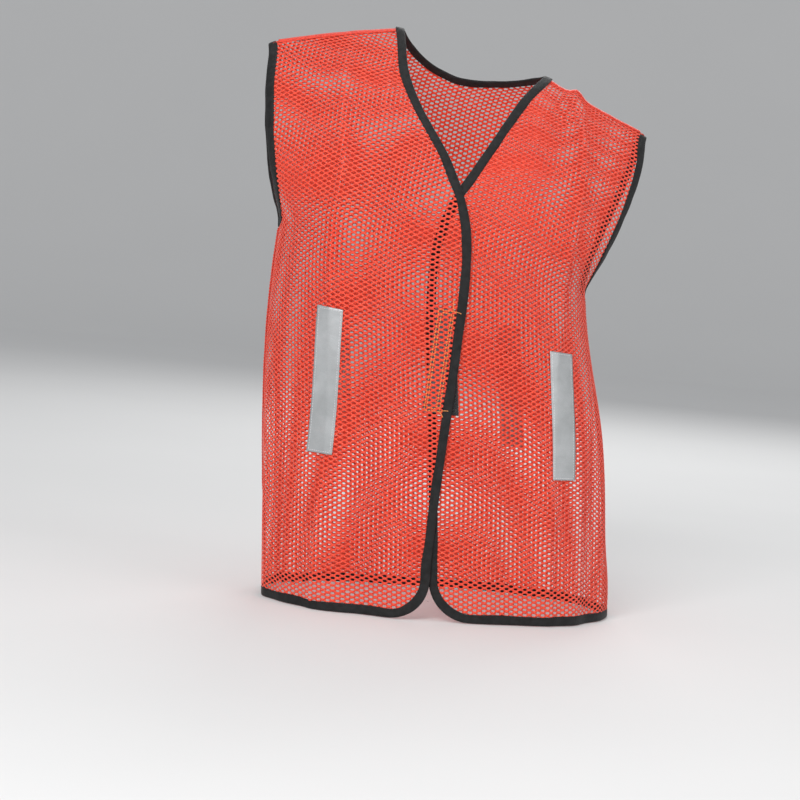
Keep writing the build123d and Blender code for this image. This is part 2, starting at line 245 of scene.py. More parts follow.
def armhole_x(z):
    """Half the width between the armholes, from the armpits to the shoulder tips."""
    share = np.clip((z - ARMPIT_Z) / (TIP_Z - ARMPIT_Z), 0.0, 1.0)
    return ARMPIT_HALF + (TIP_HALF - ARMPIT_HALF) * np.sin(math.pi / 2 * share)


def half_width(z):
    """Half the width of the whole section, which wraps a little past the armholes."""
    share = (z - ARMPIT_Z) / (TIP_Z - ARMPIT_Z)
    high = armhole_x(z) + ARMHOLE_WRAP * eased(share / WRAP_SHARE)
    return np.where(z <= ARMPIT_Z, along(HALF_WIDTH, z), high)


def ridge(x):
    """Height of the shoulder line."""
    slope = (NECK_Z - TIP_Z) / (TIP_HALF - NECK_HALF)
    return NECK_Z - slope * np.maximum(np.abs(x) - NECK_HALF, 0.0)


def angle(x, z):
    """The turn of a place on the front, from its x and z."""
    share = np.minimum(np.abs(x) / half_width(z), 1.0)
    return np.copysign(np.degrees(np.arcsin(share ** (SECTION_POWER / 2))), x)


def section_x(turn, z):
    s = np.sin(np.radians(turn))
    return np.copysign(np.abs(s) ** (2 / SECTION_POWER), s) * half_width(z)


def posed(x, y, z):
    """The wearer's lean and tilt, and the move into the frame."""
    tilt = np.radians(along(TILT, z))
    shift = along(LEAN, z) - LEAN[-1][1]
    return np.stack([shift + x * np.cos(tilt), y - RIDGE_Y, z - x * np.sin(tilt) - NECK_Z], axis=-1)


def skin(turn, z):
    """The plain surface of the worn shape: a rounded section that closes in to the shoulder line."""
    c = np.cos(np.radians(turn))
    front = c > 0
    x = section_x(turn, z)
    reach = np.where(front, FRONT_ROUNDING[0], BACK_ROUNDING[0])
    power = np.where(front, FRONT_ROUNDING[1], BACK_ROUNDING[1])
    depth = np.where(front, FRONT_DEPTH, BACK_DEPTH)
    full = -np.copysign(np.abs(c) ** (2 / SECTION_POWER), c) * depth
    fall = np.clip((ridge(x) - z) / reach, 0.0, 1.0)
    share = np.sin(math.pi / 2 * fall) ** power
    return posed(x, RIDGE_Y * (1 - share) + full * share, z)


def outward(turn, z):
    """Unit normals of the plain surface, from short steps across it and along it."""
    across = skin(turn + 0.5, z) - skin(turn - 0.5, z)
    high = np.where(z > TIP_Z / 2, z - 0.5, z + 2.5)
    return unit(np.cross(across, skin(turn, high) - skin(turn, high - 2.0)))


def lift(turn, z):
    """How far the right front stands off, to pass over the left one."""
    near = eased((section_x(turn, z) - OVERLAP_X[0]) / (OVERLAP_X[1] - OVERLAP_X[0]))
    fade = eased((z - OVERLAP_Z[0]) / (OVERLAP_Z[1] - OVERLAP_Z[0]))
    return OVERLAP_LIFT * near * (1 - fade)


def edge_x(side, z):
    """x of a front's edge, with its rounded corner at the hem."""
    sign, outline = SIDES[side]
    corner = np.clip(CORNER_RADIUS - z, 0.0, CORNER_RADIUS)
    return along(outline, z) + sign * (CORNER_RADIUS - np.sqrt(CORNER_RADIUS**2 - corner**2))


# Drape: how far the cloth stands off the plain shape


def crease(x, line, width, height):
    """A sharp fold left by packing: a ridge that follows a line and falls off on both sides."""
    return height * np.exp(-np.abs(x - line) / width)


def drape(turn, z):
    """Hanging folds and packing creases, in millimetres outwards."""
    turn = (turn + 180.0) % 360.0 - 180.0
    x = section_x(turn, z)
    around = np.radians(turn)
    below_chest = eased((FOLDS_TOP - z) / FOLDS_TOP)
    below_shoulders = 1 - eased((z - 380) / 150)
    folds = 2.2 * below_chest * np.sin(9 * around + 0.9 + z / 160)
    folds += 1.3 * below_chest * np.sin(17 * around - z / 110)
    folds += 1.1 * below_shoulders * np.sin(5 * around + z / 70)
    bulge_turn, bulge_z, bulge_height = HIP_BULGE
    folds += bulge_height * np.exp(-(((turn - bulge_turn) / 13) ** 2) - ((z - bulge_z) / 40) ** 2)
    fronts = sum(crease(x, along(line, z), *size) for line, *size in FRONT_CREASES)
    backs = sum(crease(x, *each) for each in BACK_CREASES)
    facing = np.cos(around)
    beside_strips = np.exp(-(((z - STRIP_MIDDLE_Z) / STRIP_CALM_REACH) ** 4))
    fade = eased(np.abs(facing) * 4) * (1 - STRIP_CALM * beside_strips)
    return folds + fade * np.where(facing > 0, fronts, backs)


def pleat(x, z):
    """A pleat that has popped up across the wearer's left shoulder line."""
    across, down = (x - PLEAT_X) / PLEAT_SIZE[0], (ridge(x) - z) / PLEAT_SIZE[1]
    return PLEAT_HEIGHT * np.exp(-(across**2) - down**2)


def calm(side, turn, z):
    """Folds fade at the shoulder line, and where the fronts have to lie on each other."""
    x = section_x(turn, z)
    seam = 1 - np.exp(-(((ridge(x) - z) / SEAM_CALM_REACH) ** 2))
    if side == "back":
        return seam
    near, far = OVERLAP_CALM_X
    return seam * (OVERLAP_CALM + (1 - OVERLAP_CALM) * eased((np.abs(x) - near) / (far - near)))


def on_cloth(side, turn, z, out=0.0):
    """Points on the draped cloth of a side, or out from it, in millimetres in the frame."""
    turn, z, out = np.broadcast_arrays(*(np.asarray(each, float) for each in (turn, z, out)))
    off = out + drape(turn, z) * calm(side, turn, z)
    if side == "right":
        off = off + lift(turn, z)
    points = skin(turn, z) + outward(turn, z) * off[..., None]
    points[..., 2] += pleat(section_x(turn, z), z)
    return points


# The flat cut: u runs round the body from the centre line, towards the wearer's left, and v up from
# the hem


def path_lengths(points):
    """How far along a path each of its points is."""
    return np.concatenate([[0.0], np.cumsum(np.linalg.norm(np.diff(points, axis=0), axis=1))])


def flat_table(behind):
    """turn and z for each flat place (v row, u column) of the fronts or of the back."""
    sweep = np.linspace(-90, 90, SWEEP_STEPS)
    z_rows = np.arange(0.0, NECK_Z + 1, TABLE_STEP)
    us = np.arange(-TABLE_REACH, TABLE_REACH + TABLE_STEP, TABLE_STEP)
    turn_rows = []
    chest_x = chest_u = None
    for z in z_rows:
        u = path_lengths(skin(180 - sweep if behind else sweep, np.full_like(sweep, z)))
        u -= np.interp(0.0, sweep, u)
        x = section_x(sweep, z)
        if z <= LEVEL_Z:
            chest_x, chest_u = x, u
        else:
            for sign in (-1, 1):
                outer = x * sign > STRAIGHT_X
                start = sign * STRAIGHT_X
                moved = np.interp(start, chest_x, chest_u) - np.interp(start, x, u)
                u = np.where(outer, u + moved, u)
            u = np.where(np.abs(x) <= STRAIGHT_X, np.interp(x, chest_x, chest_u), u)
        turn_rows.append(np.interp(us, u, sweep))
    turn_rows = np.array(turn_rows)
    if behind:
        turn_rows = 180.0 - turn_rows
    z_grid = np.repeat(z_rows[:, None], len(us), axis=1)
    rises = np.linalg.norm(np.diff(skin(turn_rows, z_grid), axis=0), axis=2)
    heights = np.concatenate([np.zeros((1, len(us))), np.cumsum(rises, axis=0)])
    vs = np.arange(-TABLE_MARGIN, heights.max() + TABLE_MARGIN, TABLE_STEP)
    columns = range(len(us))
    turn_table = np.array([np.interp(vs, heights[:, k], turn_rows[:, k]) for k in columns]).T
    z_table = np.array([np.interp(vs, heights[:, k], z_rows) for k in columns]).T
    over = np.maximum(vs[:, None] - heights[-1][None, :], 0.0)
    under = np.minimum(vs, 0.0)[:, None]
    return us, vs, turn_table, z_table + over + under


def read_table(table, u, v):
    """Bilinear reading of turn and z at flat places."""
    us, vs, turn_table, z_table = table
    i = np.clip((u - us[0]) / TABLE_STEP, 0, len(us) - 1.001)
    j = np.clip((v - vs[0]) / TABLE_STEP, 0, len(vs) - 1.001)
    i0, j0 = i.astype(int), j.astype(int)
    fi, fj = i - i0, j - j0
    found = []
    for values in (turn_table, z_table):
        low = values[j0, i0] * (1 - fi) + values[j0, i0 + 1] * fi
        high = values[j0 + 1, i0] * (1 - fi) + values[j0 + 1, i0 + 1] * fi
        found.append(low * (1 - fj) + high * fj)
    return found


# Meshes


def new_mesh(name, points, faces, material):
    """An object from points in millimetres. faces is a list of arrays with equal-length rows."""
    mesh = bpy.data.meshes.new(name)
    corners = np.concatenate([np.asarray(rows).ravel() for rows in faces]).astype(np.int32)
    counts = np.concatenate([np.full(len(rows), np.asarray(rows).shape[1], np.int32) for rows in faces])
    starts = np.concatenate([[0], np.cumsum(counts)[:-1]]).astype(np.int32)
    mesh.vertices.add(len(points))
    mesh.vertices.foreach_set("co", (np.asarray(points) / 1000).astype(np.float32).ravel())
    mesh.loops.add(len(corners))
    mesh.loops.foreach_set("vertex_index", corners)
    mesh.polygons.add(len(counts))
    mesh.polygons.foreach_set("loop_start", starts)
    mesh.polygons.foreach_set("loop_total", counts)
    mesh.polygons.foreach_set("use_smooth", np.ones(len(counts), bool))
    mesh.update(calc_edges=True)
    mesh.validate()
    obj = bpy.data.objects.new(name, mesh)
    bpy.context.scene.collection.objects.link(obj)
    mesh.materials.append(material)
    return obj


class Shape:
    """Points and faces gathered from several parts of one piece."""

    def __init__(self):
        self.points = []
        self.faces = {3: [], 4: []}
        self.count = 0

    def add(self, points, *face_arrays):
        points = np.asarray(points).reshape(-1, 3)
        for rows in face_arrays:
            rows = np.asarray(rows)
            self.faces[rows.shape[1]].append(rows + self.count)
        self.points.append(points)
        self.count += len(points)

    def make(self, name, material):
        faces = [np.concatenate(rows) for rows in self.faces.values() if rows]
        obj = new_mesh(name, np.concatenate(self.points), faces, material)
        work = bmesh.new()
        work.from_mesh(obj.data)
        bmesh.ops.recalc_face_normals(work, faces=work.faces)
        work.to_mesh(obj.data)
        work.free()
        return obj


def swept(loops):
    """Faces between neighbouring section loops, with a fan closing each end."""
    count, around = loops.shape[:2]
    ring = np.arange(around)
    following = (ring + 1) % around
    here = (np.arange(count - 1) * around)[:, None]
    above = here + around
    quads = np.stack([here + ring, here + following, above + following, above + ring], axis=-1)
    middle = ring[1:-1]
    cap = np.stack([np.zeros_like(middle), middle, middle + 1], axis=1)
    return loops, quads.reshape(-1, 4), cap, cap + (count - 1) * around


def slab(outer, inner):
    """Faces of a thin solid between two grids of points."""
    rows, columns = outer.shape[:2]
    loops = np.concatenate([outer, inner[:, ::-1]], axis=1)
    around = 2 * columns
    points, quads = swept(loops)[:2]
    left = np.arange(columns - 1)
    cap = np.stack([left, left + 1, around - 2 - left, around - 1 - left], axis=1)
    return points, quads, cap, cap + (rows - 1) * around


def smooth_noise(count, reach):
    """Random bumps along a path, each about reach steps long, with a spread of 1."""
    kernel = np.exp(-0.5 * (np.arange(-3 * reach, 3 * reach + 1) / reach) ** 2)
    wave = np.convolve(rng.normal(size=count + 6 * reach), kernel, "valid")
    return wave / np.sqrt((kernel**2).sum())


def evenly(turn, z, step):
    """The same path over the plain surface, with a point every step millimetres."""
    lengths = path_lengths(skin(turn, z))
    at = np.linspace(0, lengths[-1], max(int(lengths[-1] / step), 2) + 1)
    return np.interp(at, lengths, turn), np.interp(at, lengths, z)


def softened(rows, rounds):
    """Each row averaged with its neighbours along a path, with the ends kept."""
    for _ in range(rounds):
        middle = (rows[:-2] + 2 * rows[1:-1] + rows[2:]) / 4
        rows = np.concatenate([rows[:1], middle, rows[-1:]])
    return rows


def left_of(points, normals):
    """Unit directions to the left of a path, where normals point at the viewer."""
    return unit(np.cross(normals, unit(np.gradient(points, axis=0))))


# The knitted mesh: holes HOLE_PITCH apart both ways, and one in the middle of every four of them


def mesh_cloth(side, table, material):
    """Knitted mesh with every hole cut. Returns the piece and its flat width, length and area."""
    stretch = BACK_STRETCH if side == "back" else 1.0
    du, dv = (pitch / 2 * stretch for pitch in HOLE_PITCH)
    top_v = table[1][-1] - 2 * TABLE_STEP
    counts = [int((TABLE_REACH + top_v) / step) for step in (du, dv)]
    i, j = (grid.ravel() for grid in np.meshgrid(*(np.arange(-count, count) for count in counts)))
    keep = (i + j) % 2 == 0
    i, j = i[keep], j[keep]
    u, v = i * du, j * dv
    keep = (np.abs(u) < TABLE_REACH - TABLE_STEP) & (v > 0) & (v < top_v)
    i, j, u, v = i[keep], j[keep], u[keep], v[keep]
    turn, z = read_table(table, u, v)
    from_middle = np.abs(180 - turn if side == "back" else turn)
    keep = (depth_inside(side, turn, z) > 0.5) & (from_middle < 89.99)
    i, j, u, v = i[keep], j[keep], u[keep], v[keep]

    # The corners that neighbouring cells share, at the middle of each strand crossing
    corner_steps = np.array([(1, 0), (0, 1), (-1, 0), (0, -1)])
    cell_corners = np.stack([i, j], axis=1)[:, None, :] + corner_steps[None]
    keys, index = np.unique(cell_corners.reshape(-1, 2), axis=0, return_inverse=True)
    index = index.reshape(-1, 4)
    corners = keys * np.array([du, dv]) + rng.normal(0, CORNER_SCATTER, keys.shape)

    # The rim of each hole, a hexagon drawn out along the row
    angles = np.radians(HOLE_ANGLES)
    rim = np.stack([np.cos(angles) * HOLE_SIZE[0], np.sin(angles) * HOLE_SIZE[1]], axis=1) / 2
    centres = np.stack([u, v], axis=1)[:, None, :]
    growth = 1 + rng.normal(0, HOLE_SIZE_SCATTER, (len(i), 1, 1))
    rims = (centres + rim * growth + rng.normal(0, RIM_SCATTER, (len(i), 1, 2))).reshape(-1, 2)

    top = place_flat(side, table, corners, STRAND_HALF)
    under = place_flat(side, table, corners, -STRAND_HALF)
    rim_points = place_flat(side, table, rims, 0.0)
    points = np.concatenate([top, under, rim_points])
    under_index = index + len(keys)
    rim_index = (2 * len(keys) + np.arange(len(rims))).reshape(-1, 6)

    # Corners are right, top, left and foot: a fan joins (corner, rim point, next rim point), and a
    # bridge (corner, next corner, rim point)
    fan = [(0, 0, 1), (1, 1, 2), (2, 2, 3), (2, 3, 4), (3, 4, 5), (0, 5, 0)]
    bridge = [(0, 1, 1), (1, 2, 2), (2, 3, 4), (3, 0, 5)]
    faces = []
    for layer, turned in ((index, side == "back"), (under_index, side != "back")):
        rows = [np.stack([layer[:, c], rim_index[:, b], rim_index[:, a]], axis=1) for c, a, b in fan]
        rows += [np.stack([layer[:, c], layer[:, d], rim_index[:, a]], axis=1) for c, d, a in bridge]
        rows = np.concatenate(rows)
        faces.append(rows[:, ::-1] if turned else rows)

    # The cloth's cut edge: the sides of cells that only one cell has
    sides = np.stack([index, np.roll(index, -1, axis=1)], axis=-1).reshape(-1, 2)
    both, uses = np.unique(np.sort(sides, axis=1), axis=0, return_inverse=True, return_counts=True)[1:]
    a, b = sides[uses[both.ravel()] == 1].T
    edge = np.concatenate([np.stack([b, a, a + len(keys)], axis=1),
                           np.stack([b, a + len(keys), b + len(keys)], axis=1)])
    faces.append(edge[:, ::-1] if side == "back" else edge)
    made = new_mesh(f"{side}_mesh_cloth", points, [np.concatenate(faces)], material)
    width = (u.max() - u.min() + 2 * du) / 1000
    length = (v.max() - v.min() + 2 * dv) / 1000
    area = len(i) * 2 * du * dv / 1e6
    return made, (width, length), area


def depth_inside(side, turn, z):
    """How far a place is inside its piece of cloth, in millimetres. Negative is outside."""
    x = section_x(turn, z)
    side_x = np.where(z > ARMPIT_Z, armhole_x(z), half_width(z) + PAST_SIDE_SEAM)
    top = ridge(x)
    if side == "back":
        top = top - BACK_NECK_DROP * np.maximum(1 - (x / NECK_HALF) ** 2, 0.0)
        return np.minimum.reduce([top - z, z, side_x - np.abs(x)])
    sign, outline = SIDES[side]
    corner = np.clip(CORNER_RADIUS - z, 0.0, CORNER_RADIUS)
    edge = (x - along(outline, z)) * sign
    slope = np.abs(along(outline, z + 1) - along(outline, z - 1)) / 2
    rounded = CORNER_RADIUS - np.hypot(np.clip(CORNER_RADIUS - edge, 0, None), corner)
    inside_edge = np.where(z < CORNER_RADIUS, rounded, edge / np.sqrt(1 + slope**2))
    return np.minimum.reduce([top - z, z, side_x - np.abs(x), inside_edge])


def place_flat(side, table, places, out):
    """Flat places on the worn cloth, pulled back to the outline where they would pass it."""
    u, v = places.T
    probe = 0.5
    for _ in range(3):  # steps up the slope of depth_inside
        depth = depth_inside(side, *read_table(table, u, v))
        short = np.clip(EDGE_INSET - depth, 0.0, EDGE_PULL_LIMIT)
        slope_u = (depth_inside(side, *read_table(table, u + probe, v)) - depth) / probe
        slope_v = (depth_inside(side, *read_table(table, u, v + probe)) - depth) / probe
        steepness = np.maximum(slope_u**2 + slope_v**2, 0.2)
        u = u + short * slope_u / steepness
        v = v + short * slope_v / steepness
    turn, z = read_table(table, u, v)
    return on_cloth(side, turn, z, out)


# Bindings: tape folded over a raw edge, with a line of stitches down each face


def binding(name, side, turn, z, material, rounds=EDGE_SMOOTHING):
    """The cloth is on the left of the way along the path, seen from outside."""
    turn, z = evenly(turn, z, BINDING_STEP)
    normals = unit(softened(outward(turn, z), rounds))
    points = softened(on_cloth(side, turn, z), rounds)
    left = left_of(points, normals)
    count = len(turn)
    width = 1 + BINDING_WIDTH_SPREAD * smooth_noise(count, 3)
    swell = 1 + BINDING_SWELL_SPREAD * smooth_noise(count, 1)
    waver = BINDING_WAVER * smooth_noise(count, 2)
    section = BINDING_SECTION + [(inwards, -out) for inwards, out in BINDING_SECTION[::-1]]
    lines = []
    for inwards, out in section:
        # The tape's width wavers on the cloth, and its fold over the raw edge runs true
        across = left * (inwards * width)[:, None] if inwards > 1 else left * inwards
        lines.append(points + across + normals * (out * swell + waver)[:, None])
    shape = Shape()
    shape.add(*swept(np.stack(lines, axis=1)))
    for face in (1, -1):
        line = points + left * (STITCH_INSET * width)[:, None]
        line = line + normals * (face * STITCH_OUT * swell + waver)[:, None]
        add_stitches(shape, line, normals * face, BINDING_STITCH)
    return shape.make(name, material)


def read_path(at, lengths, rows):
    """Rows of three numbers along a path, read at other distances."""
    return np.stack([np.interp(at, lengths, rows[:, k]) for k in range(3)], axis=1)


def add_copies(shape, grid):
    """Many small swept parts at once: grid is (part, section, point round it, 3)."""
    _, quads, foot, top = swept(grid[0])
    offset = (np.arange(len(grid)) * grid.shape[1] * grid.shape[2])[:, None, None]
    shape.add(grid, *((offset + rows).reshape(-1, rows.shape[1]) for rows in (quads, foot, top)))


def add_stitches(shape, line, normals, size):
    """Short rounded stitches along a line of points, pulled into the cloth at their ends."""
    length, gap, width, height = size
    lengths = path_lengths(line)
    at = np.arange(length, lengths[-1] - length / 2, length + gap)
    spots = read_path(at, lengths, line)
    ups = unit(read_path(at, lengths, normals))
    tangents = unit(read_path(at + 1, lengths, line) - spots)
    sides = np.cross(ups, tangents)
    skew = rng.normal(0, 0.07, (len(at), 1))
    rings = []
    for share, girth in STITCH_RINGS:
        middle = spots + (tangents + sides * skew) * (share * length)
        for a in np.radians(np.arange(STITCH_SIDES) * 360 / STITCH_SIDES):
            spread = math.cos(a) * width / 2 * girth
            rise = (math.sin(a) + 0.3) * height / 2 * girth
            rings.append(middle + sides * spread + ups * rise)
    add_copies(shape, np.stack(rings, axis=1).reshape(len(at), len(STITCH_RINGS), STITCH_SIDES, 3))


def front_path(side):
    """From the side seam along the hem, round the corner and up the edge to the neck point."""
    sign = SIDES[side][0]
    corner_turn = angle(edge_x(side, 0.0), 0.0)
    hem_steps = 60
    hem = np.linspace(90.0 * sign, corner_turn, hem_steps)
    corner_z = CORNER_RADIUS * (1 - np.cos(np.radians(np.linspace(0, 90, 24))))
    edge_z = np.concatenate([corner_z[1:], np.linspace(CORNER_RADIUS, NECK_Z, 160)[1:]])
    turn = np.concatenate([hem, angle(edge_x(side, edge_z), edge_z)])
    z = np.concatenate([np.zeros(hem_steps), edge_z])
    return (turn, z) if side == "right" else (turn[::-1], z[::-1])


def armhole_path(sign):
    """Up the front of an armhole from the armpit and down its back."""
    z = np.linspace(ARMPIT_Z, TIP_Z, 90)
    turn = angle(armhole_x(z) * 0.99999, z)  # just short of the seam, where the section turns back
    turn = np.concatenate([turn, 180 - turn[::-1][1:]])
    z = np.concatenate([z, z[::-1][1:]])
    return (turn, z) if sign > 0 else (-turn[::-1], z[::-1])


# Tapes, strips and seams


def tape_grid(middle, width, z_low, z_high, step, behind=False):
    """Places on a straight upright tape. middle is the x of its foot and of its top."""
    rows = int((z_high - z_low) / step)
    columns = int(width / step)
    share = np.linspace(0, 1, rows + 1)[:, None]
    across = np.linspace(-0.5, 0.5, columns + 1)[None, :]
    z = z_low + (z_high - z_low) * share + 0 * across
    foot, top = middle
    turn = angle(foot + (top - foot) * share + width * across, z)
    return (180 - turn if behind else turn), z


def tape(name, side, grid, out, thickness, material, ripple, pile=None, sewn=()):
    """A thin tape on the cloth, out from it by out at its middle. Negative is inside the vest.

    sewn lists the grid's columns that have a row of stitches, and pile is HOOK_PILE or LOOP_PILE.
    """
    turn, z = grid
    rows, columns = turn.shape
    wave = ripple * np.outer(smooth_noise(rows, 3), np.ones(columns))
    wave += ripple * np.outer(np.ones(rows), smooth_noise(columns, 2)) * 0.5
    across = np.linspace(-1, 1, columns)[None, :]
    edge = 1 - 0.6 * across**8
    outer = on_cloth(side, turn, z, out + wave + thickness / 2 * edge)
    inner = on_cloth(side, turn, z, out + wave - thickness / 2 * edge)
    shape = Shape()
    shape.add(*slab(outer, inner))
    for column in sewn:
        normals = outward(turn[:, column], z[:, column])
        add_stitches(shape, outer[:, column], normals, BINDING_STITCH)
    if pile:
        inner_grid = turn[1:-1, 1:-1], z[1:-1, 1:-1]
        add_pile(shape, side, *inner_grid, out + math.copysign(thickness / 2, out), *pile)
    return shape.make(name, material)


def box_corners(middle, width, z_low, z_high, inset):
    """x and z of the corners of a box of thread inside a tape, from its right foot corner."""
    reach = width / 2 - inset
    low, high = z_low + inset, z_high - inset
    foot, top = middle
    return [(foot - reach, low), (foot + reach, low), (top + reach, high), (top - reach, high)]


def box_stitching(name, side, size, out, material, stitch=BOX_STITCH, behind=False, lines=1, ends=()):
    """Boxes of thread round a tape. ends lists loose ends as (corner, [(length, heading), ...])."""
    shape = Shape()
    for line in range(lines):
        corners = box_corners(*size, THREAD_INSET + line * LINE_GAP)
        for (x0, z0), (x1, z1) in zip(corners, corners[1:] + corners[:1]):
            x = np.linspace(x0, x1, 60)
            z = np.linspace(z0, z1, 60)
            turn = angle(x, z)
            turn, z = evenly(180 - turn if behind else turn, z, 1.0)
            normals = outward(turn, z) * math.copysign(1, out)
            add_stitches(shape, on_cloth(side, turn, z, out), normals, stitch)
    corners = box_corners(*size, THREAD_INSET)
    for corner, lengths in ends:
        x0, z0 = corners[corner]
        for length, heading in lengths:
            share = np.linspace(0, 1, 14)
            bend = heading + 35 * share
            x = x0 + np.concatenate([[0], np.cumsum(np.sin(np.radians(bend[1:])))]) * length / 13
            z = z0 + np.concatenate([[0], np.cumsum(np.cos(np.radians(bend[1:])))]) * length / 13
            add_thread(shape, on_cloth(side, angle(x, z), z, out + 2.5 * share * (1 - 0.5 * share)))
    return shape.make(name, material)


def add_thread(shape, points):
    """A loose end of thread along points."""
    tangents = unit(np.gradient(points, axis=0))
    left = unit(np.cross(tangents, (0.0, 1.0, 0.0)))
    up = np.cross(tangents, left)
    lines = []
    for a in np.radians(np.arange(0, 360, 60)):
        lines.append(points + (left * math.cos(a) + up * math.sin(a)) * THREAD_RADIUS)
    shape.add(*swept(np.stack(lines, axis=1)))


def add_pile(shape, side, turn, z, out, scatter, reach, height):
    """Short bent threads on a tape. Widely scattered ones, the loops, also point every way."""
    inside = math.copysign(1, out)
    base = on_cloth(side, turn, z, out).reshape(-1, 3)
    normals = outward(turn, z).reshape(-1, 3) * inside
    count = len(base)
    base = base + rng.normal(0, scatter, (count, 3)) * (1 - np.abs(normals))
    heading = rng.uniform(0, 2 * math.pi, count) if scatter > 0.1 else np.zeros(count)
    upright = np.stack([np.sin(heading), np.zeros(count), np.cos(heading)], axis=1)
    cross = np.cross(normals, upright)
    rings = []
    for ahead, rise in zip(reach, PILE_RISES):
        middle = base + upright * ahead + normals * (rise * height)
        for a in np.radians((90, 210, 330)):
            offset = cross * math.cos(a) + normals * math.sin(a) * PILE_FLATNESS
            rings.append(middle + offset * PILE_RADIUS)
    add_copies(shape, np.stack(rings, axis=1).reshape(count, len(PILE_RISES), 3, 3))


def side_seam_grid(sign):
    """Both sides of a side seam, from the hem binding to the armhole binding."""
    z = np.linspace(BINDING_WIDTH + 1, ARMPIT_Z - BINDING_WIDTH, 170)[:, None]
    reach = np.linspace(-1, 1, 7)[None, :]
    depth = np.where(reach < 0, FRONT_DEPTH, BACK_DEPTH)
    past_side = (np.abs(reach) * SEAM_WIDTH / 2 / depth) ** (SECTION_POWER / 2)
    turn = 90 + np.copysign(90 - np.degrees(np.arccos(past_side)), reach)
    turn, z = np.broadcast_arrays(turn, z)
    return turn * sign, z


def shoulder_seam_grid(sign):
    """Both sides of a shoulder line, from the neck binding to the armhole binding."""
    x = np.linspace(NECK_HALF + 6, TIP_HALF - 6, 70)[:, None]
    reach = np.linspace(-1, 1, 7)[None, :]
    z = ridge(x) - 0.15 - np.abs(reach) * 2.6
    turn = angle(x + 0 * z, z)
    turn = np.where(reach > 0, 180 - turn, turn)
    return turn * sign, z


# Materials


class Nodes:
    """A Principled material and short calls that add nodes to it."""

    def __init__(self, name, roughness, sheen=0.0, metallic=0.0):
        self.material = bpy.data.materials.new(name)
        self.material.use_nodes = True
        self.tree = self.material.node_tree
        self.shader = self.tree.nodes["Principled BSDF"]
        self.shader.inputs["Roughness"].default_value = roughness
        self.shader.inputs["Sheen Weight"].default_value = sheen
        self.shader.inputs["Metallic"].default_value = metallic
        self.place = self.tree.nodes.new("ShaderNodeTexCoord").outputs["Object"]

    def join(self, source, target):
        self.tree.links.new(source, target)

    def stretched(self, scale):
        node = self.tree.nodes.new("ShaderNodeMapping")
        node.inputs["Scale"].default_value = scale
        self.join(self.place, node.inputs["Vector"])
        return node.outputs["Vector"]

    def noise(self, scale, detail=3.0):
        node = self.tree.nodes.new("ShaderNodeTexNoise")
        node.inputs["Scale"].default_value = 1.0
        node.inputs["Detail"].default_value = detail
        node.inputs["Roughness"].default_value = 0.55
        self.join(self.stretched(scale), node.inputs["Vector"])
        return node.outputs["Fac"]

    def ribs(self, direction, scale, distortion):
        node = self.tree.nodes.new("ShaderNodeTexWave")
        node.bands_direction = direction
        node.inputs["Scale"].default_value = scale
        node.inputs["Distortion"].default_value = distortion
        node.inputs["Detail"].default_value = 2.0
        self.join(self.place, node.inputs["Vector"])
        return node.outputs["Fac"]

    def ramp(self, source, stops):
        node = self.tree.nodes.new("ShaderNodeValToRGB")
        ramp = node.color_ramp
        while len(ramp.elements) < len(stops):
            ramp.elements.new(0.5)
        for element, (position, colour) in zip(ramp.elements, stops):
            element.position = position
            element.color = (*colour, 1)
        self.join(source, node.inputs["Fac"])
        return node.outputs["Color"]

    def multiplied(self, a, b):
        node = self.tree.nodes.new("ShaderNodeMix")
        node.data_type = "RGBA"
        node.blend_type = "MULTIPLY"
        node.inputs["Factor"].default_value = 1.0
        self.join(a, node.inputs["A"])
        self.join(b, node.inputs["B"])
        return node.outputs["Result"]

    def colour(self, source):
        self.join(source, self.shader.inputs["Base Color"])

    def rough(self, source, low, high):
        node = self.tree.nodes.new("ShaderNodeMapRange")
        node.inputs["To Min"].default_value = low
        node.inputs["To Max"].default_value = high
        self.join(source, node.inputs["Value"])
        self.join(node.outputs["Result"], self.shader.inputs["Roughness"])

    def bumps(self, *layers):
        """Each layer is (height source, depth in metres)."""
        normal = None
        for source, depth in layers:
            node = self.tree.nodes.new("ShaderNodeBump")
            node.inputs["Distance"].default_value = depth
            self.join(source, node.inputs["Height"])
            if normal is not None:
                self.join(normal, node.inputs["Normal"])
            normal = node.outputs["Normal"]
        self.join(normal, self.shader.inputs["Normal"])


def mesh_material():
    """Fluorescent knitted polyester, finely speckled at random with painted light: pale painted
    highlights, as on the crown of each strand, and deeper painted shade, as in the dips.
    """
    nodes = Nodes("mesh_cloth", 0.55, sheen=0.15)
    # A fine random speckle that is partly the yarn's own tone and partly painted light: its pale pink end
    # is a painted highlight and its deep red end is painted shade
    speckle_and_painted_light_mask = nodes.noise((700, 700, 1100), 2.0)
    strand_tone_and_painted_light = nodes.ramp(speckle_and_painted_light_mask, [(0.30, (0.66, 0.016, 0.005)), (0.50, (0.93, 0.062, 0.016)),
                                   (0.72, (1.0, 0.15, 0.085))])
    slow = nodes.ramp(nodes.noise((9, 9, 9)), [(0.3, (0.94, 0.80, 0.80)), (0.7, (1.0, 1.0, 1.0))])
    nodes.colour(nodes.multiplied(strand_tone_and_painted_light, slow))
    nodes.rough(speckle_and_painted_light_mask, 0.42, 0.68)
    nodes.bumps((nodes.ribs("DIAGONAL", 520.0, 3.0), 0.00018), (nodes.noise((2600, 2600, 2600)), 0.0001))
    # A faint orange painted glow, standing in for the cloth's fluorescence
    nodes.shader.inputs["Emission Color"].default_value = (1.0, 0.07, 0.03, 1)
    nodes.shader.inputs["Emission Strength"].default_value = 0.06
    return nodes.material


